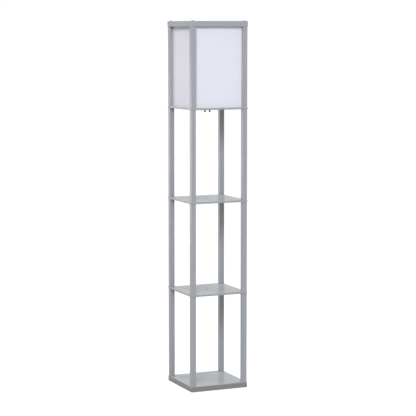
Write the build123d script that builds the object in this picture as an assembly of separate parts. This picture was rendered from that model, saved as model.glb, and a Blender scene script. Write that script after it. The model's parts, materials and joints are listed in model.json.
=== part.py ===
"""Shelf floor lamp: a square tower of short posts between boards, with a lit box on top.

Every board runs right across the tower and parts one tier of posts from the next, so the
lamp stacks up from separate pieces: studs fixed in the top of each post go up through the
board into the post above, and four screws close the half-lapped top frame.  The shade is
one folded sleeve that sits in rebates on the inner corners of the top posts, held between
its floor and the top frame.  Two bulbs stand inside it, each with its own pull switch
below.

Millimetres.  +Z is up, the front faces -Y, and the origin is on the ground at the centre.
"""
from build123d import *
from math import cos, radians, sin
import os

# Tower
BOARD_SIDE = 265.0            # every board and the top frame are this square
POST = 21.0                   # square section of a post
OVERHANG = 1.5                # how far the boards stand out past the posts
POST_LENGTH = 394.0           # clear height of an open tier
SHADE_POST_LENGTH = 346.0     # clear height of the shade's tier
BASE_THICKNESS = 23.0
SHELF_THICKNESS = 8.0
RAIL_HEIGHT = 24.0
EASING = 1.0                  # rounding of the painted upright edges
EDGE_BREAK = 0.7              # chamfer round the flat faces of boards and rails
CENTRE_HOLE = 10.0            # open hole in the middle of each shelf

# Felt pads under the base
PAD_THICKNESS = 1.0
PAD_DIAMETER = 22.0
PAD_INSET = 34.0              # from the board's edge to a pad's centre

# Hardware that pulls the tiers together
THREAD = 6.0                  # studs, base bolts and top screws
HOLE_CLEARANCE = 0.3          # around a shank in a board, all round
THREAD_CLEARANCE = 0.1        # around a shank in its insert or in the post's wood
INSERT_DIAMETER = 8.0
INSERT_LENGTH = 13.0
INSERT_CLEARANCE = 0.1
STUD_REACH = 16.0             # how far a shank goes into a post
STUD_ROOM = 3.0               # drilled past the shank's end
BOLT_HEAD_DIAMETER = 10.0
BOLT_HEAD_HEIGHT = 6.0
BOLT_SOCKET = 5.0             # across the flats of the hexagon
BOLT_SOCKET_DEPTH = 3.0
COUNTERBORE_CLEARANCE = 0.8
COUNTERBORE_DEPTH = 8.0
SCREW_HEAD_DIAMETER = 12.0    # low domed heads on the top frame
SCREW_HEAD_HEIGHT = 2.6
SCREW_HEAD_RIM = 0.6
CROSS_LENGTH = 6.0
CROSS_WIDTH = 1.2
CROSS_DEPTH = 1.4

# Shade sleeve
REBATE = 6.2                  # square rebate in the inner corner of a shade post
SLEEVE_CLEARANCE = 0.3        # to the rebate and to the top frame
SLEEVE_WALL = 1.5
SLEEVE_CORNER = 3.0
HEM_THICKNESS = 1.2           # the sleeve's turned-in edges
HEM_HEIGHT = 12.0

# Bulbs and their holders
HOLDER_OFFSET = 55.0          # from the centre to each holder's axis
HOLDER_FLANGE_THICKNESS = 4.0
HOLDER_WAIST_WALL = 1.0       # outside the well, below its skirt
HOLDER_SKIRT_WALL = 4.0
HOLDER_HEIGHT = 46.0
HOLDER_FLOOR = 16.0           # solid height below the bulb's well
HOLDER_WAIST_HEIGHT = 14.0
HOLDER_SKIRT_START = 26.0
SHELL_WALL = 1.0
SHELL_CLEARANCE = 0.7         # between a shell and its holder's well
SHELL_LENGTH = 24.0
CONTACT_DIAMETER = 9.0
CONTACT_HEIGHT = 3.0
CAP_DIAMETER = 26.0
CAP_LENGTH = 23.0
CAP_TIP_DIAMETER = 10.0
CAP_TIP_HEIGHT = 2.5
BULB_RUNNING_GAP = 0.3        # between a bulb and its holder
BULB_NECK_STEP = 1.0          # how far the neck stands out past the cap
BULB_DIAMETER = 60.0
BULB_BODY_HEIGHT = 34.0       # from the cap to the widest place
BULB_BODY_SHOULDER = 12.0
GLOBE_WALL = 1.5

# Small screws for the holders and the switch
SMALL_THREAD = 3.0
SMALL_HEAD_DIAMETER = 6.0
SMALL_HEAD_HEIGHT = 2.0
SMALL_HEAD_BEVEL = 0.7
SMALL_REACH = 6.0             # how far they go into the floor board
SMALL_CLEARANCE = 0.15
HEAD_CLEARANCE = 0.3          # around a head sunk in a holder's flange
HEAD_SINK = 2.0               # depth of that seat
HOLDER_SCREW_SPACING = 39.0
HOLDER_FLANGE_RIM = 0.5       # flange left outside a head

# Twin pull switch
PULL_TILT = 13.0              # each pull leans outwards by this, in degrees
PULL_OFFSET = 8.6             # from the centre to a pull's axis, at the board's underside
PULL_DROP = 16.7              # along the axis, from the underside to the knob's end
PULL_TRAVEL = 6.0             # how far a pull draws out along its axis
KNOB_DIAMETER = 7.0
KNOB_LENGTH = 11.5
KNOB_NECK_DIAMETER = 4.4
KNOB_SKIRT = 7.0              # length of the knob's full-width end
STEM_DIAMETER = 3.0
STEM_CLEARANCE = 0.1
COLLAR_DIAMETER = 5.8
COLLAR_THICKNESS = 2.5
CHAMBER_DIAMETER = 6.4
GUIDE_LENGTH = 6.0
SPRING_SOLID = 6.0            # length of a spring with its pull drawn right out
SPRING_DIAMETER = 5.4         # outside of the coils
SPRING_BORE = 4.2             # inside of the coils
SPRING_SEAT = 0.1             # clearance at each end
HOUSING_LENGTH = 38.0
HOUSING_WIDTH = 22.0
HOUSING_HEIGHT = 14.0         # above the floor board
HOUSING_CORNER = 3.0
EAR_LENGTH = 56.0
EAR_THICKNESS = 3.0
EAR_SCREW_SPACING = 47.0
NOSE_LENGTH = 31.0
NOSE_WIDTH = 11.0
NOSE_CLEARANCE = 0.3
COVER_THICKNESS = 3.0
MOULDED_EDGE = 1.0            # rounding and bevels of the moulded pieces

# Leads and the cord's inlet
LEAD_DIAMETER = 5.0
LEAD_HEIGHT = 7.0             # axis of the holders' leads above the floor board
LEAD_START = 9.5              # from the centre to where a holder's lead leaves the switch
LEAD_BOW = 26.0               # how far the holders' leads bow out to the back
SUPPLY_LEAD_DIAMETER = 6.0
SUPPLY_RISE = 22.0            # top of the supply lead's arch above the floor board
SUPPLY_BEND = 12.0            # radius of its bend above the gland
GLAND_INSET = 38.0            # from the board's back edge to the gland's axis
GLAND_BORE = 7.0
GLAND_BODY_DIAMETER = 12.0
GLAND_FLANGE_DIAMETER = 18.0
GLAND_FLANGE_THICKNESS = 2.5
GLAND_NUT_ACROSS = 17.0
GLAND_NUT_HEIGHT = 5.0
GLAND_CLEARANCE = 0.3

# Heights, worked out from the stack
BASE_BOTTOM = PAD_THICKNESS
BASE_TOP = BASE_BOTTOM + BASE_THICKNESS
LOWER_SHELF_BOTTOM = BASE_TOP + POST_LENGTH
LOWER_SHELF_TOP = LOWER_SHELF_BOTTOM + SHELF_THICKNESS
UPPER_SHELF_BOTTOM = LOWER_SHELF_TOP + POST_LENGTH
UPPER_SHELF_TOP = UPPER_SHELF_BOTTOM + SHELF_THICKNESS
FLOOR_BOTTOM = UPPER_SHELF_TOP + POST_LENGTH
FLOOR_TOP = FLOOR_BOTTOM + SHELF_THICKNESS
RAIL_BOTTOM = FLOOR_TOP + SHADE_POST_LENGTH
RAIL_TOP = RAIL_BOTTOM + RAIL_HEIGHT

# Plan sizes, worked out from the section
HALF = BOARD_SIDE / 2
POST_CENTRE = HALF - OVERHANG - POST / 2
RAIL_WIDTH = OVERHANG + POST
INSERT_DRILL = INSERT_DIAMETER + 2 * INSERT_CLEARANCE
STUD_DRILL = THREAD + 2 * THREAD_CLEARANCE
SLEEVE_SIDE = BOARD_SIDE - 2 * (OVERHANG + POST - REBATE + SLEEVE_CLEARANCE)
SLEEVE_TOP = RAIL_BOTTOM - SLEEVE_CLEARANCE
HOUSING_TOP = FLOOR_TOP + HOUSING_HEIGHT
GLAND_Y = HALF - GLAND_INSET

# Holder, bulb and switch, worked out from what goes into them
BULB_NECK_DIAMETER = CAP_DIAMETER + 2 * BULB_NECK_STEP
SHELL_BORE = CAP_DIAMETER + 2 * BULB_RUNNING_GAP
HOLDER_BORE = SHELL_BORE + 2 * (SHELL_WALL + SHELL_CLEARANCE)
HOLDER_WAIST_DIAMETER = HOLDER_BORE + 2 * HOLDER_WAIST_WALL
HOLDER_SKIRT_DIAMETER = HOLDER_BORE + 2 * HOLDER_SKIRT_WALL
HOLDER_FLANGE_DIAMETER = HOLDER_SCREW_SPACING + SMALL_HEAD_DIAMETER + 2 * HOLDER_FLANGE_RIM
HOLDER_SCREW_SEAT = FLOOR_TOP + HOLDER_FLANGE_THICKNESS - HEAD_SINK
WELL_BOTTOM = FLOOR_TOP + HOLDER_FLOOR
CAP_BOTTOM = WELL_BOTTOM + CONTACT_HEIGHT + BULB_RUNNING_GAP + CAP_TIP_HEIGHT
BULB_WIDEST = CAP_BOTTOM + CAP_LENGTH + BULB_BODY_HEIGHT
SPRING_LENGTH = SPRING_SOLID + PULL_TRAVEL

CORNERS = {
    "front_left": (-1, -1),
    "front_right": (1, -1),
    "back_left": (-1, 1),
    "back_right": (1, 1),
}
SIDES = {"left": -1, "right": 1}


def cylinder(x, y, low, high, diameter):
    """Upright cylinder between two heights."""
    return Pos(x, y, (low + high) / 2) * Cylinder(diameter / 2, high - low)


def block(x_range, y_range, z_range):
    """Upright box between three pairs of limits."""
    middle = [(low + high) / 2 for low, high in (x_range, y_range, z_range)]
    size = [high - low for low, high in (x_range, y_range, z_range)]
    return Pos(*middle) * Box(*size)


def eased(body):
    """Rounds the upright edges of a painted piece and takes the sharpness off the rest."""
    body = fillet(body.edges().filter_by(Axis.Z), EASING)
    ends = body.edges().group_by(Axis.Z)
    return chamfer(ends[0] + ends[-1], EDGE_BREAK)


def post_places():
    return [(sx * POST_CENTRE, sy * POST_CENTRE) for sx, sy in CORNERS.values()]


def group(solids):
    return Compound(children=list(solids))


# Boards

def board(low, thickness):
    """Square board with all its edges eased, drilled for the four studs."""
    body = block((-HALF, HALF), (-HALF, HALF), (low, low + thickness))
    body = eased(body)
    hole = THREAD + 2 * HOLE_CLEARANCE
    for x, y in post_places():
        body -= cylinder(x, y, low, low + thickness, hole)
    return body


def base_board():
    body = board(BASE_BOTTOM, BASE_THICKNESS)
    bore = BOLT_HEAD_DIAMETER + 2 * COUNTERBORE_CLEARANCE
    for x, y in post_places():
        body -= cylinder(x, y, BASE_BOTTOM, BASE_BOTTOM + COUNTERBORE_DEPTH, bore)
    return body


def shelf(low):
    hole = cylinder(0, 0, low, low + SHELF_THICKNESS, CENTRE_HOLE)
    return board(low, SHELF_THICKNESS) - hole


def shade_floor():
    """Board under the shade: throat for the pulls, gland hole and screw holes."""
    body = board(FLOOR_BOTTOM, SHELF_THICKNESS)
    throat = SlotOverall(NOSE_LENGTH + 2 * NOSE_CLEARANCE, NOSE_WIDTH + 2 * NOSE_CLEARANCE)
    body -= extrude(Pos(0, 0, FLOOR_BOTTOM) * throat, SHELF_THICKNESS)
    gland_hole = GLAND_BODY_DIAMETER + 2 * GLAND_CLEARANCE
    body -= cylinder(0, GLAND_Y, FLOOR_BOTTOM, FLOOR_TOP, gland_hole)
    for x, y in holder_screw_places() + ear_screw_places():
        body -= small_screw_hole(x, y, FLOOR_TOP)
    return body


def foot_pads():
    place = HALF - PAD_INSET
    return group(
        cylinder(sx * place, sy * place, 0, PAD_THICKNESS, PAD_DIAMETER)
        for sx, sy in CORNERS.values()
    )


# Posts

def post(corner, low, length, top_drill=STUD_DRILL):
    """Square post with its long edges eased.  Its bottom end is drilled for an insert, and
    its top end for the fixed half of a stud unless a wider drill is asked for."""
    sx, sy = CORNERS[corner]
    x, y = sx * POST_CENTRE, sy * POST_CENTRE
    body = Pos(x, y, low + length / 2) * Box(POST, POST, length)
    body = fillet(body.edges().filter_by(Axis.Z), EASING)
    depth, high = STUD_REACH + STUD_ROOM, low + length
    body -= cylinder(x, y, low, low + depth, INSERT_DRILL)
    return body - cylinder(x, y, high - depth, high, top_drill)


def shade_post(corner):
    """Post of the top tier, rebated on its inner corner for the sleeve.  Its top end is
    drilled for an insert too, which takes a top screw."""
    sx, sy = CORNERS[corner]
    reach = POST / 2 - REBATE / 2
    cutter = Box(REBATE, REBATE, SHADE_POST_LENGTH)
    middle = FLOOR_TOP + SHADE_POST_LENGTH / 2
    cutter = Pos(sx * (POST_CENTRE - reach), sy * (POST_CENTRE - reach), middle) * cutter
    return post(corner, FLOOR_TOP, SHADE_POST_LENGTH, INSERT_DRILL) - cutter


# Hardware between the tiers

def inserts(*starts):
    """Threaded inserts in one tier's posts, a row of four from each starting height."""
    rings = []
    for low in starts:
        high = low + INSERT_LENGTH
        for x, y in post_places():
            ring = cylinder(x, y, low, high, INSERT_DIAMETER)
            rings.append(ring - cylinder(x, y, low, high, STUD_DRILL))
    return group(rings)


def shank(x, y, low, high):
    return cylinder(x, y, low, high, THREAD)


def studs(low):
    """Studs that stand fixed in the posts below a board, up through it into the inserts
    of the posts above."""
    bottom, top = low - STUD_REACH, low + SHELF_THICKNESS + STUD_REACH
    return group(shank(x, y, bottom, top) for x, y in post_places())


def base_bolt(x, y):
    """Socket bolt up through the base, its head sunk in the counterbore."""
    seat = BASE_BOTTOM + COUNTERBORE_DEPTH
    head = cylinder(x, y, seat - BOLT_HEAD_HEIGHT, seat, BOLT_HEAD_DIAMETER)
    hexagon = RegularPolygon(BOLT_SOCKET / 2, 6, major_radius=False)
    head -= extrude(Pos(x, y, seat - BOLT_HEAD_HEIGHT) * hexagon, BOLT_SOCKET_DEPTH)
    return head + shank(x, y, seat, BASE_TOP + STUD_REACH)


def top_screw(x, y):
    """Low domed screw that clamps a lapped corner down on its post."""
    radius = SCREW_HEAD_DIAMETER / 2
    with BuildSketch(Plane.XZ) as half_head:
        with BuildLine():
            Line((0, 0), (radius, 0))
            Line((radius, 0), (radius, SCREW_HEAD_RIM))
            ThreePointArc(
                (radius, SCREW_HEAD_RIM),
                (radius / 2, head_height(radius / 2)),
                (0, SCREW_HEAD_HEIGHT),
            )
            Line((0, SCREW_HEAD_HEIGHT), (0, 0))
        make_face()
    head = Pos(x, y, RAIL_TOP) * revolve(half_head.sketch, Axis.Z)
    floor = RAIL_TOP + SCREW_HEAD_HEIGHT - CROSS_DEPTH / 2
    for size in ((CROSS_LENGTH, CROSS_WIDTH), (CROSS_WIDTH, CROSS_LENGTH)):
        head -= Pos(x, y, floor) * Box(*size, CROSS_DEPTH)
    return head + shank(x, y, RAIL_BOTTOM - STUD_REACH, RAIL_TOP)


def head_height(reach):
    """Height of the domed head at a distance from its axis."""
    rise = SCREW_HEAD_HEIGHT - SCREW_HEAD_RIM
    edge = SCREW_HEAD_DIAMETER / 2
    ball = (edge ** 2 + rise ** 2) / (2 * rise)
    return SCREW_HEAD_HEIGHT - ball + (ball ** 2 - reach ** 2) ** 0.5


# Top frame

def top_frame():
    """The whole top frame as one eased ring, before it is parted into rails."""
    opening = HALF - RAIL_WIDTH
    ring = block((-HALF, HALF), (-HALF, HALF), (RAIL_BOTTOM, RAIL_TOP))
    ring -= block((-opening, opening), (-opening, opening), (RAIL_BOTTOM, RAIL_TOP))
    ring = eased(ring)
    for x, y in post_places():
        ring -= cylinder(x, y, RAIL_BOTTOM, RAIL_TOP, THREAD + 2 * HOLE_CLEARANCE)
    return ring


def rail(along_x, side):
    """Rail of the top frame.  Its ends are half-lapped: the front and back rails keep
    their lower half there, the left and right rails their upper half."""
    inner = HALF - RAIL_WIDTH
    across = tuple(sorted((side * inner, side * HALF)))
    halfway = RAIL_BOTTOM + RAIL_HEIGHT / 2
    lap = (RAIL_BOTTOM, halfway) if along_x else (halfway, RAIL_TOP)
    middle = ((-inner, inner), across)
    whole = ((-HALF, HALF), across)
    if not along_x:
        middle, whole = middle[::-1], whole[::-1]
    reach = block(*middle, (RAIL_BOTTOM, RAIL_TOP)) + block(*whole, lap)
    return top_frame() & reach


# Shade

def square_tube(side, wall, corner, low, high):
    outer = RectangleRounded(side, side, corner)
    inner = RectangleRounded(side - 2 * wall, side - 2 * wall, corner - wall)
    return extrude(Pos(0, 0, low) * (outer - inner), high - low)


def shade_sleeve():
    """Folded square sleeve, its top and bottom edges turned in as hems."""
    body = square_tube(SLEEVE_SIDE, SLEEVE_WALL, SLEEVE_CORNER, FLOOR_TOP, SLEEVE_TOP)
    hem_side = SLEEVE_SIDE - 2 * SLEEVE_WALL
    hem_corner = SLEEVE_CORNER - SLEEVE_WALL
    for low in (FLOOR_TOP, SLEEVE_TOP - HEM_HEIGHT):
        body += square_tube(hem_side, HEM_THICKNESS, hem_corner, low, low + HEM_HEIGHT)
    return body


# Bulb holders and bulbs

def turned(points, x):
    """Solid of revolution from (radius, height) points, standing at x."""
    profile = make_face(Polyline(*[(r, 0, z) for r, z in points], close=True))
    return Pos(x, 0, 0) * revolve(profile, Axis.Z)


def holder(x):
    """Lamp holder: flange, waist and skirt round a well for the bulb's cap."""
    waist, skirt = HOLDER_WAIST_DIAMETER / 2, HOLDER_SKIRT_DIAMETER / 2
    flange, bore = HOLDER_FLANGE_DIAMETER / 2, HOLDER_BORE / 2
    top = FLOOR_TOP + HOLDER_HEIGHT
    body = turned([
        (0, FLOOR_TOP),
        (flange, FLOOR_TOP),
        (flange, FLOOR_TOP + HOLDER_FLANGE_THICKNESS),
        (waist, FLOOR_TOP + HOLDER_FLANGE_THICKNESS),
        (waist, FLOOR_TOP + HOLDER_WAIST_HEIGHT),
        (skirt, FLOOR_TOP + HOLDER_SKIRT_START),
        (skirt, top),
        (bore, top),
        (bore, WELL_BOTTOM),
        (0, WELL_BOTTOM),
    ], x)
    high = FLOOR_TOP + HOLDER_WAIST_HEIGHT
    seat = SMALL_HEAD_DIAMETER + 2 * HEAD_CLEARANCE
    for sx, sy in holder_screw_places():
        if (sx > 0) == (x > 0):
            body -= cylinder(sx, sy, FLOOR_TOP, high, SMALL_THREAD + 2 * SMALL_CLEARANCE)
            body -= cylinder(sx, sy, HOLDER_SCREW_SEAT, high, seat)
    return body


def screw_shell(x):
    """Metal shell that takes the bulb's threaded cap."""
    low, high = WELL_BOTTOM, WELL_BOTTOM + SHELL_LENGTH
    tube = cylinder(x, 0, low, high, SHELL_BORE + 2 * SHELL_WALL)
    return tube - cylinder(x, 0, low, high, SHELL_BORE)


def centre_contact(x):
    return cylinder(x, 0, WELL_BOTTOM, WELL_BOTTOM + CONTACT_HEIGHT, CONTACT_DIAMETER)


def bulb_cap(x):
    """Bulb's cap with its tip contact, closed at the top."""
    top = CAP_BOTTOM + CAP_LENGTH
    tip = CAP_TIP_DIAMETER / 2
    return turned([
        (0, CAP_BOTTOM - CAP_TIP_HEIGHT),
        (tip, CAP_BOTTOM - CAP_TIP_HEIGHT),
        (tip, CAP_BOTTOM),
        (CAP_DIAMETER / 2, CAP_BOTTOM + CAP_TIP_HEIGHT),
        (CAP_DIAMETER / 2, top),
        (0, top),
    ], x)


def bulb_body(x):
    """Plastic body that widens from the cap to the globe."""
    low = CAP_BOTTOM + CAP_LENGTH
    neck, wide = BULB_NECK_DIAMETER / 2, BULB_DIAMETER / 2
    return turned([
        (0, low),
        (neck, low),
        (neck, low + BULB_BODY_SHOULDER),
        (wide, BULB_WIDEST),
        (0, BULB_WIDEST),
    ], x)


def bulb_globe(x):
    """Hollow half ball on top of the body."""
    radius = BULB_DIAMETER / 2
    ball = Sphere(radius) - Sphere(radius - GLOBE_WALL)
    lower_half = block((-radius, radius), (-radius, radius), (-radius, 0))
    return Pos(x, 0, BULB_WIDEST) * (ball - lower_half)


# Small screws

def holder_screw_places():
    reach = HOLDER_SCREW_SPACING / 2
    return [(side * HOLDER_OFFSET, y) for side in SIDES.values() for y in (-reach, reach)]


def ear_screw_places():
    return [(side * EAR_SCREW_SPACING / 2, 0) for side in SIDES.values()]


def small_screw_hole(x, y, top):
    return cylinder(x, y, top - SMALL_REACH, top, SMALL_THREAD + 2 * SMALL_CLEARANCE)


def small_screw(x, y, seat):
    head = cylinder(x, y, seat, seat + SMALL_HEAD_HEIGHT, SMALL_HEAD_DIAMETER)
    head = chamfer(head.edges().group_by(Axis.Z)[-1], SMALL_HEAD_BEVEL)
    tip = FLOOR_TOP - SMALL_REACH + SMALL_CLEARANCE
    return head + cylinder(x, y, tip, seat, SMALL_THREAD)


def holder_screws():
    return group(small_screw(x, y, HOLDER_SCREW_SEAT) for x, y in holder_screw_places())


def switch_screws():
    seat = FLOOR_TOP + EAR_THICKNESS
    return group(small_screw(x, y, seat) for x, y in ear_screw_places())


# Twin pull switch

def pull_plane(side):
    """Plane on the board's underside whose normal runs up a pull's leaning axis."""
    lean = radians(PULL_TILT)
    return Plane(
        origin=(side * PULL_OFFSET, 0, FLOOR_BOTTOM),
        x_dir=(cos(lean), 0, side * sin(lean)),
        z_dir=(-side * sin(lean), 0, cos(lean)),
    )


def on_axis(side, low, high, diameter):
    """Cylinder round a pull's axis, between two distances from the underside."""
    rod = Cylinder(diameter / 2, high - low)
    return pull_plane(side).location * Pos(0, 0, (low + high) / 2) * rod


def collar_seat():
    """Underside of a pull's collar, measured along its axis."""
    return GUIDE_LENGTH + SPRING_LENGTH


def pull(side):
    """Stem with a return collar inside the switch and a bell knob below the board."""
    end = -PULL_DROP
    neck = end + KNOB_LENGTH
    with BuildSketch(Plane.XZ) as half_knob:
        with BuildLine():
            Polyline(
                (0, neck),
                (KNOB_NECK_DIAMETER / 2, neck),
                (KNOB_DIAMETER / 2, end + KNOB_SKIRT),
                (KNOB_DIAMETER / 2, end + MOULDED_EDGE),
                (KNOB_DIAMETER / 2 - MOULDED_EDGE, end),
                (0, end),
                close=True,
            )
        make_face()
    knob = pull_plane(side).location * revolve(half_knob.sketch, Axis.Z)
    stem = on_axis(side, neck, collar_seat(), STEM_DIAMETER)
    collar = on_axis(side, collar_seat(), collar_seat() + COLLAR_THICKNESS, COLLAR_DIAMETER)
    return knob + stem + collar


def pull_spring(side):
    """Space of the coil spring between the guide's shoulder and the pull's collar."""
    low, high = GUIDE_LENGTH + SPRING_SEAT, collar_seat() - SPRING_SEAT
    return on_axis(side, low, high, SPRING_DIAMETER) - on_axis(side, low, high, SPRING_BORE)


def switch_housing():
    """Moulding on the floor board: two leaning spring chambers above a flush nose."""
    ears = RectangleRounded(EAR_LENGTH, HOUSING_WIDTH, HOUSING_CORNER)
    box = RectangleRounded(HOUSING_LENGTH, HOUSING_WIDTH, HOUSING_CORNER)
    body = extrude(Pos(0, 0, FLOOR_TOP) * ears, EAR_THICKNESS)
    body += extrude(Pos(0, 0, FLOOR_TOP) * box, HOUSING_HEIGHT)
    body += extrude(Pos(0, 0, FLOOR_BOTTOM) * SlotOverall(NOSE_LENGTH, NOSE_WIDTH), SHELF_THICKNESS)
    beyond = HOUSING_HEIGHT + SHELF_THICKNESS + CHAMBER_DIAMETER
    for side in SIDES.values():
        body -= on_axis(side, -STEM_DIAMETER, beyond, STEM_DIAMETER + 2 * STEM_CLEARANCE)
        body -= on_axis(side, GUIDE_LENGTH, beyond, CHAMBER_DIAMETER)
    for x, y in ear_screw_places():
        hole = SMALL_THREAD + 2 * SMALL_CLEARANCE
        body -= cylinder(x, y, FLOOR_TOP, FLOOR_TOP + EAR_THICKNESS, hole)
    return body


def switch_cover():
    lid = RectangleRounded(HOUSING_LENGTH, HOUSING_WIDTH, HOUSING_CORNER)
    lid = extrude(Pos(0, 0, HOUSING_TOP) * lid, COVER_THICKNESS)
    return fillet(lid.edges().group_by(Axis.Z)[-1], MOULDED_EDGE)


# Leads and gland

def tube(points, radii, diameter):
    """Round lead along straight runs joined by tangent arcs."""
    path = FilletPolyline(*points, radius=radii)
    section = Plane(path @ 0, z_dir=path % 0) * Circle(diameter / 2)
    lead = sweep(section, path)
    print("lead", round(path.length, 1), "mm, volume ratio",
          round(lead.volume / (path.length * section.area), 4), "radii", radii)
    return lead


def supply_lead():
    """From the gland, up and over into the back of the switch."""
    start = FLOOR_TOP + GLAND_NUT_HEIGHT
    arch = FLOOR_TOP + SUPPLY_RISE
    entry = FLOOR_TOP + LEAD_HEIGHT
    back = HOUSING_WIDTH / 2
    run = SUPPLY_RISE - GLAND_NUT_HEIGHT
    points = [
        (0, GLAND_Y, start),
        (0, GLAND_Y, arch),
        (0, GLAND_Y - 2 * run, arch),
        (0, back + run, entry),
        (0, back, entry),
    ]
    return tube(points, [SUPPLY_BEND, run, run], SUPPLY_LEAD_DIAMETER)


def holder_lead(side):
    """From the side of the switch's back, round behind to the holder's waist."""
    height = FLOOR_TOP + LEAD_HEIGHT
    waist = HOLDER_WAIST_DIAMETER / 2
    bow = HOUSING_WIDTH / 2 + LEAD_BOW
    points = [
        (side * LEAD_START, HOUSING_WIDTH / 2, height),
        (side * LEAD_START, bow, height),
        (side * HOLDER_OFFSET, bow, height),
        (side * HOLDER_OFFSET, waist, height),
    ]
    return tube(points, [LEAD_BOW / 2, LEAD_BOW / 2], LEAD_DIAMETER)


def cable_gland():
    """Flanged bush under the floor board, where the cord comes up."""
    low = FLOOR_BOTTOM - GLAND_FLANGE_THICKNESS
    high = FLOOR_TOP + GLAND_NUT_HEIGHT
    flange = cylinder(0, GLAND_Y, low, FLOOR_BOTTOM, GLAND_FLANGE_DIAMETER)
    flange = chamfer(flange.edges().group_by(Axis.Z)[0], MOULDED_EDGE)
    body = flange + cylinder(0, GLAND_Y, FLOOR_BOTTOM, high, GLAND_BODY_DIAMETER)
    return body - cylinder(0, GLAND_Y, low, high, GLAND_BORE)


def gland_nut():
    hexagon = RegularPolygon(GLAND_NUT_ACROSS / 2, 6, major_radius=False)
    nut = extrude(Pos(0, GLAND_Y, FLOOR_TOP) * hexagon, GLAND_NUT_HEIGHT)
    hole = GLAND_BODY_DIAMETER + 2 * THREAD_CLEARANCE
    return nut - cylinder(0, GLAND_Y, FLOOR_TOP, FLOOR_TOP + GLAND_NUT_HEIGHT, hole)


def build():
    """Every sub-part by its name."""
    parts = {
        "base_board": base_board(),
        "foot_pads": foot_pads(),
        "base_bolts": group(base_bolt(x, y) for x, y in post_places()),
        "lower_shelf": shelf(LOWER_SHELF_BOTTOM),
        "upper_shelf": shelf(UPPER_SHELF_BOTTOM),
        "shade_floor": shade_floor(),
        "lower_shelf_studs": studs(LOWER_SHELF_BOTTOM),
        "upper_shelf_studs": studs(UPPER_SHELF_BOTTOM),
        "shade_floor_studs": studs(FLOOR_BOTTOM),
        "shade_sleeve": shade_sleeve(),
        "shade_post_inserts": inserts(FLOOR_TOP, RAIL_BOTTOM - INSERT_LENGTH),
        "top_rail_front": rail(True, -1),
        "top_rail_back": rail(True, 1),
        "top_rail_left": rail(False, -1),
        "top_rail_right": rail(False, 1),
        "top_screws": group(top_screw(x, y) for x, y in post_places()),
        "switch_housing": switch_housing(),
        "switch_cover": switch_cover(),
        "switch_screws": switch_screws(),
        "holder_screws": holder_screws(),
        "cable_gland": cable_gland(),
        "gland_nut": gland_nut(),
        "supply_lead": supply_lead(),
    }
    tiers = {
        "lower": BASE_TOP,
        "middle": LOWER_SHELF_TOP,
        "upper": UPPER_SHELF_TOP,
    }
    for tier, low in tiers.items():
        parts[f"{tier}_post_inserts"] = inserts(low)
        for corner in CORNERS:
            parts[f"{tier}_post_{corner}"] = post(corner, low, POST_LENGTH)
    for corner in CORNERS:
        parts[f"shade_post_{corner}"] = shade_post(corner)
    for name, side in SIDES.items():
        x = side * HOLDER_OFFSET
        parts[f"pull_{name}"] = pull(side)
        parts[f"pull_spring_{name}"] = pull_spring(side)
        parts[f"lamp_holder_{name}"] = holder(x)
        parts[f"screw_shell_{name}"] = screw_shell(x)
        parts[f"centre_contact_{name}"] = centre_contact(x)
        parts[f"holder_lead_{name}"] = holder_lead(side)
        parts[f"bulb_cap_{name}"] = bulb_cap(x)
        parts[f"bulb_body_{name}"] = bulb_body(x)
        parts[f"bulb_globe_{name}"] = bulb_globe(x)
    return parts


if __name__ == "__main__":
    os.makedirs("parts", exist_ok=True)
    for node, shape in build().items():
        export_step(shape, f"parts/{node}.step")
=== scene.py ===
"""Finishes, small trims, studio light and camera for the shelf floor lamp.

Metres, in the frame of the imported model: +Z up, the front faces -Y, the ground at z = 0.
"""
import json
from math import cos, pi, radians, sin

import bpy
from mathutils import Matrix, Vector


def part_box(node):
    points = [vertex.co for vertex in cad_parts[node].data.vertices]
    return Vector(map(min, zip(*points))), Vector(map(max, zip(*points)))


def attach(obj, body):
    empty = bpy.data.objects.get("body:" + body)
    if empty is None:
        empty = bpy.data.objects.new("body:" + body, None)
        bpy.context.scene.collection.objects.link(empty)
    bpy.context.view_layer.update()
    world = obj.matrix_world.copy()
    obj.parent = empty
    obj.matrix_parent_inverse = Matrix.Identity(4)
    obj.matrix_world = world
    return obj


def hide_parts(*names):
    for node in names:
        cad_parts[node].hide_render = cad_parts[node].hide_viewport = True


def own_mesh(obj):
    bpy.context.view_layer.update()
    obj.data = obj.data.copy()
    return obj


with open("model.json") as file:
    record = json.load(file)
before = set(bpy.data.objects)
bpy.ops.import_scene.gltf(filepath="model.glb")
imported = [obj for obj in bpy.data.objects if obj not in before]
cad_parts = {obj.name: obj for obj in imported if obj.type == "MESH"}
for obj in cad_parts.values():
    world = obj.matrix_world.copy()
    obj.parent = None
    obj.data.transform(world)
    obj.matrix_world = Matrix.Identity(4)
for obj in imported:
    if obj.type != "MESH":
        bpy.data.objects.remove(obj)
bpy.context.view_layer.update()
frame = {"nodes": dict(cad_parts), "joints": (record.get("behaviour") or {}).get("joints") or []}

MM = 0.001
UP = Vector((0.0, 0.0, 1.0))
nodes = frame["nodes"]
scene = bpy.context.scene

# Camera, fitted to the photograph
CAMERA_AZIMUTH = radians(-23.67)
CAMERA_DISTANCE = 6.830          # from the lamp's axis, level
CAMERA_HEIGHT = 1.560
CAMERA_TILT = radians(6.166)     # downwards
CAMERA_TURN = radians(-0.025)
CAMERA_FOCAL_PIXELS = 1567.5
CAMERA_SHIFT = -0.02
CAMERA_REACH = 500.0             # it sees past the edge of the floor
FRAME_PIXELS = 416
SENSOR = 36.0

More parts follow.
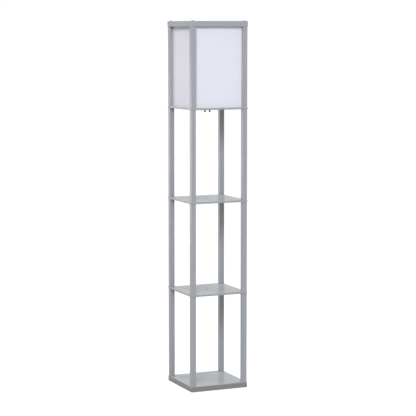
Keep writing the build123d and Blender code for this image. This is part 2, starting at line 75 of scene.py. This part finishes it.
# Shelves and shade
SHELF_HOLE_RADIUS = 5.0 * MM
SLEEVE_LOW, SLEEVE_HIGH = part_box("shade_sleeve")
SEAM_WIDTH = 14.0 * MM
SEAM_THICKNESS = 0.35 * MM
SEAM_INSET = 12.0 * MM           # from the sleeve's right edge, seen from the front
SEAM_MARGIN = 0.8 * MM           # left free above and below the strip
SEAM_EASING = 0.45 * SEAM_THICKNESS
WEAVE_PITCH = 0.8 * MM

# Ribbed grips round the lamp holders
HOLDER_SKIRT_RADIUS = 19.0 * MM
GRIP_RADIUS = HOLDER_SKIRT_RADIUS + 0.15 * MM    # the ribs stand on this
GRIP_START = 28.0 * MM           # above a holder's foot
GRIP_HEADROOM = 2.0 * MM         # below its rim
GRIP_RIBS = 36
RIB_HEIGHT = 0.7 * MM
GROOVE_HEIGHT = 0.25 * RIB_HEIGHT
GRIP_WALL = 0.5 * RIB_HEIGHT

# Coil springs of the pulls
SPRING_DIAMETER = 5.4 * MM       # outside of the coils
SPRING_WIRE = 0.55 * MM
SPRING_TURNS = 7
SPRING_TURN_STEPS = 20
WIRE_SIDES = 8

# Colours, linear
GREY_PAINT = (0.312, 0.331, 0.353)
BASE_SIDE_SHADE = (0.71, 0.68, 0.65)   # painted shade on the base board's upright sides: darker and warmer than its top and bottom
RAW_BOARD = (0.090, 0.060, 0.036)
SHADE_WHITE = (0.713, 0.709, 0.793)
MOULDED_BLACK = (0.007, 0.007, 0.008)
SCREW_DARK = (0.075, 0.076, 0.080)
ZINC = (0.560, 0.560, 0.550)
YELLOW_ZINC = (0.560, 0.480, 0.300)
BRASS = (0.700, 0.500, 0.220)
ALUMINIUM = (0.740, 0.740, 0.730)
SPRING_STEEL = (0.450, 0.450, 0.460)
FELT = (0.050, 0.050, 0.054)
OPAL = (0.860, 0.850, 0.810)
BULB_WHITE = (0.780, 0.780, 0.770)
BLACK = (0.0, 0.0, 0.0)
WHITE = (1.0, 1.0, 1.0)

# Studio
FLOOR_SIDE = 400.0
FLOOR_LIFT = 0.96                # emission that only the camera sees
FLOOR_SEEN = (0.10, 0.10, 0.10)  # floor colour for the camera, under that emission
FLOOR_PALE = (0.42, 0.42, 0.43)  # floor colour as the lamp sees it
ROOM_SEEN = 1.01                 # strength of the white room for the camera
ROOM_BACK = 0.71                 # and as light, from behind the lamp
ROOM_FRONT = 0.45                # and from the camera's side
LIGHTS = (  # name, place, aim, size, power, colour, whether glossy surfaces mirror it
    ("front_left_softbox", (-3.2, -4.9, 4.3), (0.0, 0.0, 1.0), 2.0, 279.0, (0.99, 0.99, 1.0), False),
    ("front_softbox", (-0.3, -5.8, 2.9), (0.0, 0.0, 1.0), 2.0, 50.0, (0.99, 0.99, 1.0), False),
    ("back_left_softbox", (-2.6, 4.2, 0.75), (0.0, 0.0, 0.7), 1.5, 17.0, (0.96, 0.99, 1.0), True),
    ("high_softbox", (-2.6, 3.2, 4.5), (0.0, 0.0, 1.0), 2.0, 78.0, (1.0, 0.96, 0.76), False),
    ("back_softbox", (0.4, 5.5, 2.5), (0.0, 0.0, 1.0), 3.0, 20.0, WHITE, True),
    ("top_softbox", (0.0, 0.0, 5.0), (0.0, 0.0, 1.5), 2.5, 90.0, WHITE, True),
    ("right_softbox", (5.2, 1.0, 4.2), (0.0, 0.0, 1.0), 2.5, 140.0, WHITE, False),
)


# Node building

def toned(colour, factor):
    """The colour made darker or lighter by a factor."""
    return tuple(channel * factor for channel in colour)


def fill(tree, socket, value):
    """Links a socket to an output, or sets it to a number, a vector or a colour."""
    if hasattr(value, "is_output"):
        tree.links.new(value, socket)
    elif socket.type == "RGBA":
        socket.default_value = (*value[:3], 1.0)
    else:
        socket.default_value = value


def group_tree(name, inputs, outputs):
    """Empty shader group with float, vector or colour sockets."""
    kinds = {"value": "NodeSocketFloat", "vector": "NodeSocketVector", "colour": "NodeSocketColor"}
    tree = bpy.data.node_groups.new(name, "ShaderNodeTree")
    for label, kind, start in inputs:
        socket = tree.interface.new_socket(label, in_out="INPUT", socket_type=kinds[kind])
        socket.default_value = start
    for label, kind in outputs:
        tree.interface.new_socket(label, in_out="OUTPUT", socket_type=kinds[kind])
    return tree, tree.nodes.new("NodeGroupInput"), tree.nodes.new("NodeGroupOutput")


def math_node(tree, operation, *values):
    """Math node fed with sockets or numbers; returns its output."""
    node = tree.nodes.new("ShaderNodeMath")
    node.operation = operation
    for socket, value in zip(node.inputs, values):
        fill(tree, socket, value)
    return node.outputs[0]


def noise(tree, vector, scale, detail=3.0, roughness=0.5):
    """Noise from 0 to 1; the scale is its cells to the metre."""
    node = tree.nodes.new("ShaderNodeTexNoise")
    node.inputs["Scale"].default_value = scale
    node.inputs["Detail"].default_value = detail
    node.inputs["Roughness"].default_value = roughness
    tree.links.new(vector, node.inputs["Vector"])
    return node.outputs["Fac"]


def stretch(tree, vector, factors):
    """Multiplies a vector or a colour channel by channel."""
    node = tree.nodes.new("ShaderNodeVectorMath")
    node.operation = "MULTIPLY"
    fill(tree, node.inputs[0], vector)
    fill(tree, node.inputs[1], factors)
    return node.outputs[0]


def scaled(tree, vector, factor):
    """Multiplies a vector or a colour by one number."""
    node = tree.nodes.new("ShaderNodeVectorMath")
    node.operation = "SCALE"
    fill(tree, node.inputs[0], vector)
    fill(tree, node.inputs["Scale"], factor)
    return node.outputs[0]


def split(tree, vector):
    """The X, Y and Z outputs of a vector."""
    node = tree.nodes.new("ShaderNodeSeparateXYZ")
    tree.links.new(vector, node.inputs[0])
    return node.outputs


def smooth_step(tree, value, low, high):
    """0 below low, 1 above high, smooth between."""
    node = tree.nodes.new("ShaderNodeMapRange")
    node.interpolation_type = "SMOOTHSTEP"
    node.inputs["From Min"].default_value = low
    node.inputs["From Max"].default_value = high
    tree.links.new(value, node.inputs["Value"])
    return node.outputs["Result"]


def mixed(tree, factor, first, second):
    """Colour mix of two colours or sockets."""
    node = tree.nodes.new("ShaderNodeMix")
    node.data_type = "RGBA"
    colour_inputs = [socket for socket in node.inputs if socket.type == "RGBA"]
    tree.links.new(factor, node.inputs["Factor"])
    fill(tree, colour_inputs[0], first)
    fill(tree, colour_inputs[1], second)
    return next(socket for socket in node.outputs if socket.type == "RGBA")


def varied(tree, pattern, spread, middle):
    """A value that a 0 to 1 pattern moves about its middle."""
    offset = math_node(tree, "SUBTRACT", pattern, 0.5)
    return math_node(tree, "MULTIPLY_ADD", offset, spread, middle)


# Effects, each built once and placed in the finishes that use it

def make_sprayed_coat():
    """Sprayed paint: slow drifts of tone, fine orange peel and a varying gloss."""
    tree, ins, outs = group_tree(
        "sprayed_coat",
        [("Vector", "vector", (0, 0, 0)), ("Colour", "colour", (0.5, 0.5, 0.5, 1)),
         ("Drift", "value", 0.05), ("Gloss", "value", 0.4), ("Gloss Spread", "value", 0.08)],
        [("Colour", "colour"), ("Roughness", "value"), ("Height", "value")],
    )
    place = ins.outputs["Vector"]
    drift_share = 1.6                # of the slow drifts in the tone, against the clouds
    drift = noise(tree, place, scale=7.0, detail=4.0)
    cloud = noise(tree, place, scale=45.0, detail=5.0, roughness=0.6)
    peel = noise(tree, place, scale=850.0, detail=2.0)
    shade = varied(tree, drift, drift_share, math_node(tree, "SUBTRACT", cloud, 0.5))
    shade = math_node(tree, "MULTIPLY_ADD", shade, ins.outputs["Drift"], 1.0)
    rough = varied(tree, cloud, ins.outputs["Gloss Spread"], ins.outputs["Gloss"])
    tree.links.new(scaled(tree, ins.outputs["Colour"], shade), outs.inputs["Colour"])
    tree.links.new(rough, outs.inputs["Roughness"])
    tree.links.new(peel, outs.inputs["Height"])
    return tree


def make_grain_ghost():
    """Wood grain that shows faintly through paint, drawn out along one axis."""
    tree, ins, outs = group_tree(
        "grain_ghost",
        [("Vector", "vector", (0, 0, 0)), ("Across", "vector", (1, 1, 1))],
        [("Height", "value")],
    )
    fine_share = 0.35
    place = stretch(tree, ins.outputs["Vector"], ins.outputs["Across"])
    broad = noise(tree, place, scale=260.0, detail=4.0, roughness=0.6)
    fine = noise(tree, place, scale=1100.0, detail=2.0)
    height = math_node(tree, "MULTIPLY_ADD", fine, fine_share, broad)
    tree.links.new(height, outs.inputs["Height"])
    return tree


def make_plain_weave():
    """Over-and-under linen weave on upright panels, with thicker threads here and there."""
    tree, ins, outs = group_tree(
        "plain_weave",
        [("Vector", "vector", (0, 0, 0)), ("Pitch Scale", "value", 1.0)],
        [("Height", "value"), ("Slub", "value")],
    )
    straying = 2.2                   # radians of a thread's wave
    slub_along, slub_across = 14.0, 620.0    # thick threads to the metre, lengthways and across
    x, y, up = split(tree, ins.outputs["Vector"])
    along = math_node(tree, "ADD", x, y)
    wander = noise(tree, ins.outputs["Vector"], scale=120.0, detail=2.0)
    waves = []
    for line in (along, up):
        turn = math_node(tree, "MULTIPLY", line, ins.outputs["Pitch Scale"])
        turn = math_node(tree, "MULTIPLY_ADD", wander, straying, turn)
        waves.append(math_node(tree, "SINE", turn))
    flat = tree.nodes.new("ShaderNodeCombineXYZ")
    tree.links.new(along, flat.inputs[0])
    tree.links.new(up, flat.inputs[1])
    level = stretch(tree, flat.outputs[0], (slub_along, slub_across, 1.0))
    plumb = stretch(tree, flat.outputs[0], (slub_across, slub_along, 1.0))
    slubs = [noise(tree, place, scale=1.0, detail=2.0) for place in (level, plumb)]
    slub = math_node(tree, "MULTIPLY", math_node(tree, "ADD", *slubs), 0.5)
    tree.links.new(math_node(tree, "MULTIPLY", *waves), outs.inputs["Height"])
    tree.links.new(slub, outs.inputs["Slub"])
    return tree


def make_moulded_grain():
    """Fine spark-eroded grain of moulded plastic, and the soft sheen it gives."""
    tree, ins, outs = group_tree(
        "moulded_grain",
        [("Vector", "vector", (0, 0, 0)), ("Roughness", "value", 0.5)],
        [("Roughness", "value"), ("Height", "value")],
    )
    sheen_spread = 0.12
    grain = noise(tree, ins.outputs["Vector"], scale=2200.0, detail=2.0, roughness=0.7)
    patch = noise(tree, ins.outputs["Vector"], scale=90.0)
    rough = varied(tree, patch, sheen_spread, ins.outputs["Roughness"])
    tree.links.new(rough, outs.inputs["Roughness"])
    tree.links.new(grain, outs.inputs["Height"])
    return tree


def make_handled_metal():
    """Plated metal with small scuffs and uneven brightness."""
    tree, ins, outs = group_tree(
        "handled_metal",
        [("Vector", "vector", (0, 0, 0)), ("Colour", "colour", (0.5, 0.5, 0.5, 1)),
         ("Roughness", "value", 0.35)],
        [("Colour", "colour"), ("Roughness", "value"), ("Height", "value")],
    )
    scuff_spread = 0.25
    dullest, dull_spread = 0.85, 0.3
    scuff_place = stretch(tree, ins.outputs["Vector"], (1.0, 6.0, 1.0))
    scuff = noise(tree, scuff_place, scale=700.0, detail=4.0, roughness=0.7)
    dull = noise(tree, ins.outputs["Vector"], scale=160.0)
    shade = math_node(tree, "MULTIPLY_ADD", dull, dull_spread, dullest)
    rough = varied(tree, scuff, scuff_spread, ins.outputs["Roughness"])
    tree.links.new(scaled(tree, ins.outputs["Colour"], shade), outs.inputs["Colour"])
    tree.links.new(rough, outs.inputs["Roughness"])
    tree.links.new(scuff, outs.inputs["Height"])
    return tree


SPRAYED_COAT = make_sprayed_coat()
GRAIN_GHOST = make_grain_ghost()
PLAIN_WEAVE = make_plain_weave()
MOULDED_GRAIN = make_moulded_grain()
HANDLED_METAL = make_handled_metal()


# Materials

class Finish:
    """A new material with its shader, its object coordinates and helpers to fill it."""

    def __init__(self, name, **sockets):
        self.material = bpy.data.materials.new(name)
        self.material.use_nodes = True
        self.tree = self.material.node_tree
        self.shader = self.tree.nodes["Principled BSDF"]
        for label, value in sockets.items():
            self.shader.inputs[label.replace("_", " ")].default_value = value
        coordinates = self.tree.nodes.new("ShaderNodeTexCoord")
        self.place, self.facing = coordinates.outputs["Object"], coordinates.outputs["Normal"]

    def effect(self, tree, **values):
        """Places a shared effect on the object's coordinates, with its own values."""
        node = self.tree.nodes.new("ShaderNodeGroup")
        node.node_tree = tree
        self.tree.links.new(self.place, node.inputs["Vector"])
        for label, value in values.items():
            fill(self.tree, node.inputs[label.replace("_", " ")], value)
        return node.outputs

    def feed(self, label, source):
        self.tree.links.new(source, self.shader.inputs[label])

    def colour(self):
        """The output that feeds the base colour so far."""
        return self.shader.inputs["Base Color"].links[0].from_socket

    def bump(self, height, distance, strength=1.0):
        """Adds a bump over any that the shader already has."""
        node = self.tree.nodes.new("ShaderNodeBump")
        node.inputs["Distance"].default_value = distance
        node.inputs["Strength"].default_value = strength
        self.tree.links.new(height, node.inputs["Height"])
        before = self.shader.inputs["Normal"].links
        if before:
            self.tree.links.new(before[0].from_socket, node.inputs["Normal"])
        self.feed("Normal", node.outputs["Normal"])


def painted(name, grain_across=None):
    """Satin cool-grey paint; posts and rails show a ghost of their grain."""
    finish = Finish(name)
    coat = finish.effect(SPRAYED_COAT, Colour=GREY_PAINT, Drift=0.05, Gloss=0.24, Gloss_Spread=0.08)
    finish.feed("Base Color", coat["Colour"])
    finish.feed("Roughness", coat["Roughness"])
    finish.bump(coat["Height"], distance=0.03 * MM)
    if grain_across:
        grain = finish.effect(GRAIN_GHOST, Across=grain_across)
        finish.bump(grain["Height"], distance=0.10 * MM)
    return finish


def painted_shelf(name):
    """Painted board whose centre hole shows the raw board inside."""
    finish = painted(name)
    tree = finish.tree
    reach = tree.nodes.new("ShaderNodeVectorMath")
    reach.operation = "LENGTH"
    tree.links.new(stretch(tree, finish.place, (1.0, 1.0, 0.0)), reach.inputs[0])
    fibre = noise(tree, finish.place, scale=1500.0, detail=4.0, roughness=0.7)
    dark_fibre = toned(RAW_BOARD, 0.55)
    raw = mixed(tree, fibre, dark_fibre, RAW_BOARD)
    rim = smooth_step(
        tree, reach.outputs["Value"],
        low=SHELF_HOLE_RADIUS * 1.01, high=SHELF_HOLE_RADIUS * 1.06,
    )
    finish.feed("Base Color", mixed(tree, rim, raw, finish.colour()))
    return finish


def painted_base_side_shade(name):
    """Painted board with painted shade on its upright sides: they are coloured darker and warmer
    than its top and bottom.
    """
    finish = painted(name)
    tree = finish.tree
    level = math_node(tree, "ABSOLUTE", split(tree, finish.facing)["Z"])
    face = smooth_step(tree, level, low=0.35, high=0.8)
    paint = finish.colour()
    # painted shade: the upright sides take the darker, warmer colour, the top and bottom keep the
    # plain paint
    finish.feed("Base Color", mixed(tree, face, stretch(tree, paint, BASE_SIDE_SHADE), paint))
    return finish


def laminated_shade(name):
    """Stiff white sheet faced with linen-like cloth."""
    finish = Finish(name, Roughness=0.85)
    weave = finish.effect(PLAIN_WEAVE, Pitch_Scale=2 * pi / WEAVE_PITCH)
    thin_thread = toned(SHADE_WHITE, 0.93)
    finish.feed("Base Color", mixed(finish.tree, weave["Slub"], thin_thread, SHADE_WHITE))
    finish.bump(weave["Height"], distance=0.06 * MM, strength=0.6)
    finish.bump(weave["Slub"], distance=0.08 * MM, strength=0.5)
    return finish


def moulded(name, colour, roughness):
    """Moulded plastic with a fine grain, and painted shade in the grain's hollows, which are
    coloured a little darker.
    """
    finish = Finish(name)
    grain = finish.effect(MOULDED_GRAIN, Roughness=roughness)
    grain_hollow_shade = toned(colour, 0.9)
    # painted shade: the colour is a little darker where the grain's height is low
    finish.feed("Base Color", mixed(finish.tree, grain["Height"], grain_hollow_shade, colour))
    finish.feed("Roughness", grain["Roughness"])
    finish.bump(grain["Height"], distance=0.03 * MM)
    return finish


def metal(name, colour, roughness, metallic=1.0):
    """Bright or plated metal, a little scuffed."""
    finish = Finish(name, Metallic=metallic)
    handled = finish.effect(HANDLED_METAL, Colour=colour, Roughness=roughness)
    finish.feed("Base Color", handled["Colour"])
    finish.feed("Roughness", handled["Roughness"])
    finish.bump(handled["Height"], distance=0.01 * MM)
    return finish


def felt(name):
    """Pressed dark felt."""
    finish = Finish(name, Roughness=0.95)
    tree = finish.tree
    fibre_place = stretch(tree, finish.place, (1.0, 2.5, 1.0))
    fibre = noise(tree, fibre_place, scale=1300.0, detail=5.0, roughness=0.8)
    raised_fibre = toned(FELT, 2.2)
    finish.feed("Base Color", mixed(tree, fibre, FELT, raised_fibre))
    finish.bump(fibre, distance=0.15 * MM)
    return finish


def opal(name):
    """Frosted globe, a little clouded."""
    finish = Finish(name, Subsurface_Weight=0.2, Roughness=0.35)
    finish.shader.inputs["Subsurface Radius"].default_value = (4 * MM, 4 * MM, 3 * MM)
    cloud = noise(finish.tree, finish.place, scale=60.0)
    clouded = toned(OPAL, 0.95)
    finish.feed("Base Color", mixed(finish.tree, cloud, clouded, OPAL))
    return finish


def finish_nodes():
    """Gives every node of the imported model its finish, and returns the finishes by node."""
    zinc = metal("bright_zinc", ZINC, roughness=0.30)
    black = moulded("black_moulding", MOULDED_BLACK, roughness=0.42)
    rail_x = painted("grey_painted_rail_x", grain_across=(0.03, 1.0, 1.0))
    rail_y = painted("grey_painted_rail_y", grain_across=(1.0, 0.03, 1.0))
    by_word = (  # the first of these words in a node's name gives its finish
        ("insert", metal("yellow_zinc", YELLOW_ZINC, roughness=0.35)),
        ("stud", zinc),
        ("bolt", zinc),
        ("top_screws", metal("dark_screw_metal", SCREW_DARK, roughness=0.40, metallic=0.8)),
        ("screws", zinc),
        ("base_board", painted_base_side_shade("grey_painted_base_side_shade")),
        ("shade_floor", painted("grey_painted_board")),
        ("shelf", painted_shelf("grey_painted_shelf")),
        ("post", painted("grey_painted_post", grain_across=(1.0, 1.0, 0.03))),
        ("rail_front", rail_x),
        ("rail_back", rail_x),
        ("rail", rail_y),
        ("sleeve", laminated_shade("white_linen_sheet")),
        ("pads", felt("dark_felt")),
        ("spring", metal("spring_wire", SPRING_STEEL, roughness=0.28)),
        ("contact", metal("contact_brass", BRASS, roughness=0.25)),
        ("shell", metal("screw_shell_metal", ALUMINIUM, roughness=0.28)),
        ("bulb_cap", metal("bulb_cap_metal", ALUMINIUM, roughness=0.25)),
        ("bulb_globe", opal("opal_globe")),
        ("bulb_body", moulded("white_bulb_moulding", BULB_WHITE, roughness=0.30)),
        ("lamp_holder", moulded("black_holder_moulding", MOULDED_BLACK, roughness=0.30)),
        ("lead", moulded("black_lead_jacket", MOULDED_BLACK, roughness=0.55)),
        ("pull", black),
        ("switch", black),
        ("gland", black),
    )
    finishes = {node: next(finish for word, finish in by_word if word in node) for node in nodes}
    for node, finish in finishes.items():
        mesh = nodes[node].data
        mesh.materials.clear()
        mesh.materials.append(finish.material)
    return finishes


# Small trims

def deselect_all():
    bpy.ops.object.select_all(action="DESELECT")


def settle(name, finish):
    """Names the active object, puts its place in its mesh, gives it its finish and slot,
    and rides it on the tower."""
    piece = bpy.context.object
    bpy.ops.object.transform_apply(location=True, rotation=True, scale=True)
    piece.name = piece.data.name = name
    piece.data.materials.clear()
    piece.data.materials.append(finish.material)
    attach(piece, "tower")
    return piece


def apply_modifier(kind, **settings):
    """Puts a modifier on the active object and applies it."""
    piece = bpy.context.object
    modifier = piece.modifiers.new(kind.lower(), kind)
    for label, value in settings.items():
        setattr(modifier, label, value)
    bpy.ops.object.modifier_apply(modifier=modifier.name)


def sleeve_seam(finish):
    """Overlap strip that joins the folded sheet, outside its back face."""
    place = (
        SLEEVE_HIGH.x - SEAM_INSET - SEAM_WIDTH / 2,
        SLEEVE_HIGH.y + SEAM_THICKNESS / 2,
        (SLEEVE_LOW.z + SLEEVE_HIGH.z) / 2,
    )
    height = SLEEVE_HIGH.z - SLEEVE_LOW.z - 2 * SEAM_MARGIN
    size = (SEAM_WIDTH, SEAM_THICKNESS, height)
    deselect_all()
    bpy.ops.mesh.primitive_cube_add(size=1.0, location=place, scale=size)
    bpy.ops.object.transform_apply(location=False, rotation=False, scale=True)
    apply_modifier("BEVEL", width=SEAM_EASING, segments=2, limit_method="ANGLE")
    settle("sleeve_seam_strip", finish)


def holder_grip(name, finish):
    """Ribbed ring round the skirt of one lamp holder."""
    low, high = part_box(f"lamp_holder_{name}")
    bottom, top = low.z + GRIP_START, high.z - GRIP_HEADROOM
    centre = ((low.x + high.x) / 2, (low.y + high.y) / 2, (bottom + top) / 2)
    crest = GRIP_RADIUS + RIB_HEIGHT
    groove = (GRIP_RADIUS + GROOVE_HEIGHT) / crest
    deselect_all()
    bpy.ops.mesh.primitive_cylinder_add(
        vertices=2 * GRIP_RIBS, radius=crest, depth=top - bottom,
        end_fill_type="NOTHING", location=centre,
    )
    bpy.ops.object.mode_set(mode="EDIT")
    bpy.ops.mesh.select_mode(type="VERT")
    bpy.ops.mesh.select_all(action="DESELECT")
    bpy.ops.object.mode_set(mode="OBJECT")
    for vertex in bpy.context.object.data.vertices:
        turn = Vector(vertex.co.xy).angle_signed(Vector((1.0, 0.0)), 0.0)
        vertex.select = round(turn / (pi / GRIP_RIBS)) % 2 == 1
    bpy.ops.object.mode_set(mode="EDIT")
    bpy.ops.transform.resize(value=(groove, groove, 1.0), center_override=centre)
    bpy.ops.object.mode_set(mode="OBJECT")
    apply_modifier("SOLIDIFY", thickness=GRIP_WALL, offset=-1.0)
    settle(f"holder_grip_{name}", finish)


def coil_spring(name, finish):
    """Coil spring under one pull's collar: a wire circle swept up a helix, then leaned over to the
    pull's axis."""
    node, joint = f"pull_spring_{name}", f"pull_{name}_slide"
    slide = next(item for item in frame["joints"] if item["name"] == joint)
    up = -Vector(slide["axis"]).normalized()
    tilt = up.angle(UP)
    low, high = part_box(node)
    length = (high.z - low.z - SPRING_DIAMETER * sin(tilt)) / cos(tilt)
    rise = length - SPRING_WIRE
    foot = (low + high) / 2 - up * rise / 2
    steps = SPRING_TURN_STEPS * SPRING_TURNS
    deselect_all()
    bpy.ops.mesh.primitive_circle_add(
        vertices=WIRE_SIDES, radius=SPRING_WIRE / 2, rotation=(pi / 2, 0.0, 0.0),
        location=((SPRING_DIAMETER - SPRING_WIRE) / 2, 0.0, 0.0),
    )
    bpy.ops.object.transform_apply(location=True, rotation=True, scale=True)
    apply_modifier("SCREW", axis="Z", angle=2 * pi * SPRING_TURNS, screw_offset=rise,
                   steps=steps, render_steps=steps, use_smooth_shade=True)
    bpy.ops.object.mode_set(mode="EDIT")
    bpy.ops.mesh.select_all(action="SELECT")
    bpy.ops.mesh.fill_holes(sides=0)
    bpy.ops.mesh.select_all(action="SELECT")
    bpy.ops.mesh.normals_make_consistent(inside=False)
    bpy.ops.object.mode_set(mode="OBJECT")
    spring = bpy.context.object
    spring.rotation_euler = UP.rotation_difference(up).to_euler()
    spring.location = foot
    piece = settle(f"coil_spring_{name}", finish)
    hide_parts(node)
    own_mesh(piece)


# Studio

def seen_by_camera(tree):
    """1 where the camera looks straight at a surface, 0 for light that bounces."""
    return tree.nodes.new("ShaderNodeLightPath").outputs["Is Camera Ray"]


def stage_floor():
    """Pale floor that runs out past every view and meets the white room unseen."""
    deselect_all()
    bpy.ops.mesh.primitive_plane_add(size=FLOOR_SIDE, location=(0.0, 0.0, 0.0))
    floor = bpy.context.object
    floor.name = "pale_floor"
    finish = Finish("pale_floor_paint", Roughness=0.9)
    tree = finish.tree
    cloud = noise(tree, finish.place, scale=0.8)
    palest = toned(FLOOR_PALE, 1.04)
    pale = mixed(tree, cloud, FLOOR_PALE, palest)
    camera = seen_by_camera(tree)
    finish.feed("Base Color", mixed(tree, camera, pale, FLOOR_SEEN))
    finish.feed("Emission Color", mixed(tree, camera, BLACK, WHITE))
    finish.shader.inputs["Emission Strength"].default_value = FLOOR_LIFT
    floor.data.materials.append(finish.material)


def area_light(name, place, aim, size, power, colour, mirrored):
    """Round softbox turned towards its aim."""
    data = bpy.data.lights.new(name, "AREA")
    data.shape = "DISK"
    data.size = size
    data.energy = power
    data.color = colour
    lamp = bpy.data.objects.new(name, data)
    lamp.location = place
    lamp.rotation_euler = (Vector(aim) - Vector(place)).to_track_quat("-Z", "Y").to_euler()
    lamp.visible_glossy = mirrored
    scene.collection.objects.link(lamp)


def white_room():
    """White all round for the camera; as light, stronger from behind the lamp."""
    world = bpy.data.worlds.new("white_room")
    world.use_nodes = True
    tree = world.node_tree
    sky = tree.nodes["Background"]
    sky.inputs["Color"].default_value = (*WHITE, 1.0)
    heading = tree.nodes.new("ShaderNodeVectorMath")
    heading.operation = "DOT_PRODUCT"
    heading.inputs[1].default_value = (-sin(CAMERA_AZIMUTH), cos(CAMERA_AZIMUTH), 0.0)
    tree.links.new(tree.nodes.new("ShaderNodeTexCoord").outputs["Generated"], heading.inputs[0])
    behind = smooth_step(tree, heading.outputs["Value"], low=-0.3, high=0.6)
    spread = math_node(tree, "MULTIPLY_ADD", behind, ROOM_BACK - ROOM_FRONT, ROOM_FRONT)
    strength = tree.nodes.new("ShaderNodeMix")
    strength.inputs["B"].default_value = ROOM_SEEN
    tree.links.new(seen_by_camera(tree), strength.inputs["Factor"])
    tree.links.new(spread, strength.inputs["A"])
    tree.links.new(strength.outputs["Result"], sky.inputs["Strength"])
    scene.world = world


def studio_light():
    """The room, the softboxes and plain colours."""
    white_room()
    for light in LIGHTS:
        area_light(*light)
    scene.view_settings.view_transform = "Standard"
    scene.view_settings.look = "None"


def place_camera():
    """Camera at the photograph's angle."""
    data = bpy.data.cameras.new("photo_view")
    data.sensor_width = SENSOR
    data.lens = CAMERA_FOCAL_PIXELS / FRAME_PIXELS * SENSOR
    data.shift_y = CAMERA_SHIFT
    data.clip_end = CAMERA_REACH
    camera = bpy.data.objects.new("photo_view", data)
    camera.location = (
        sin(CAMERA_AZIMUTH) * CAMERA_DISTANCE,
        -cos(CAMERA_AZIMUTH) * CAMERA_DISTANCE,
        CAMERA_HEIGHT,
    )
    camera.rotation_euler = (pi / 2 - CAMERA_TILT, 0.0, CAMERA_AZIMUTH + CAMERA_TURN)
    scene.collection.objects.link(camera)
    scene.camera = camera


finishes = finish_nodes()
sleeve_seam(finishes["shade_sleeve"])
for side in ("left", "right"):
    holder_grip(side, finishes[f"lamp_holder_{side}"])
    coil_spring(side, finishes[f"pull_spring_{side}"])
stage_floor()
studio_light()
place_camera()
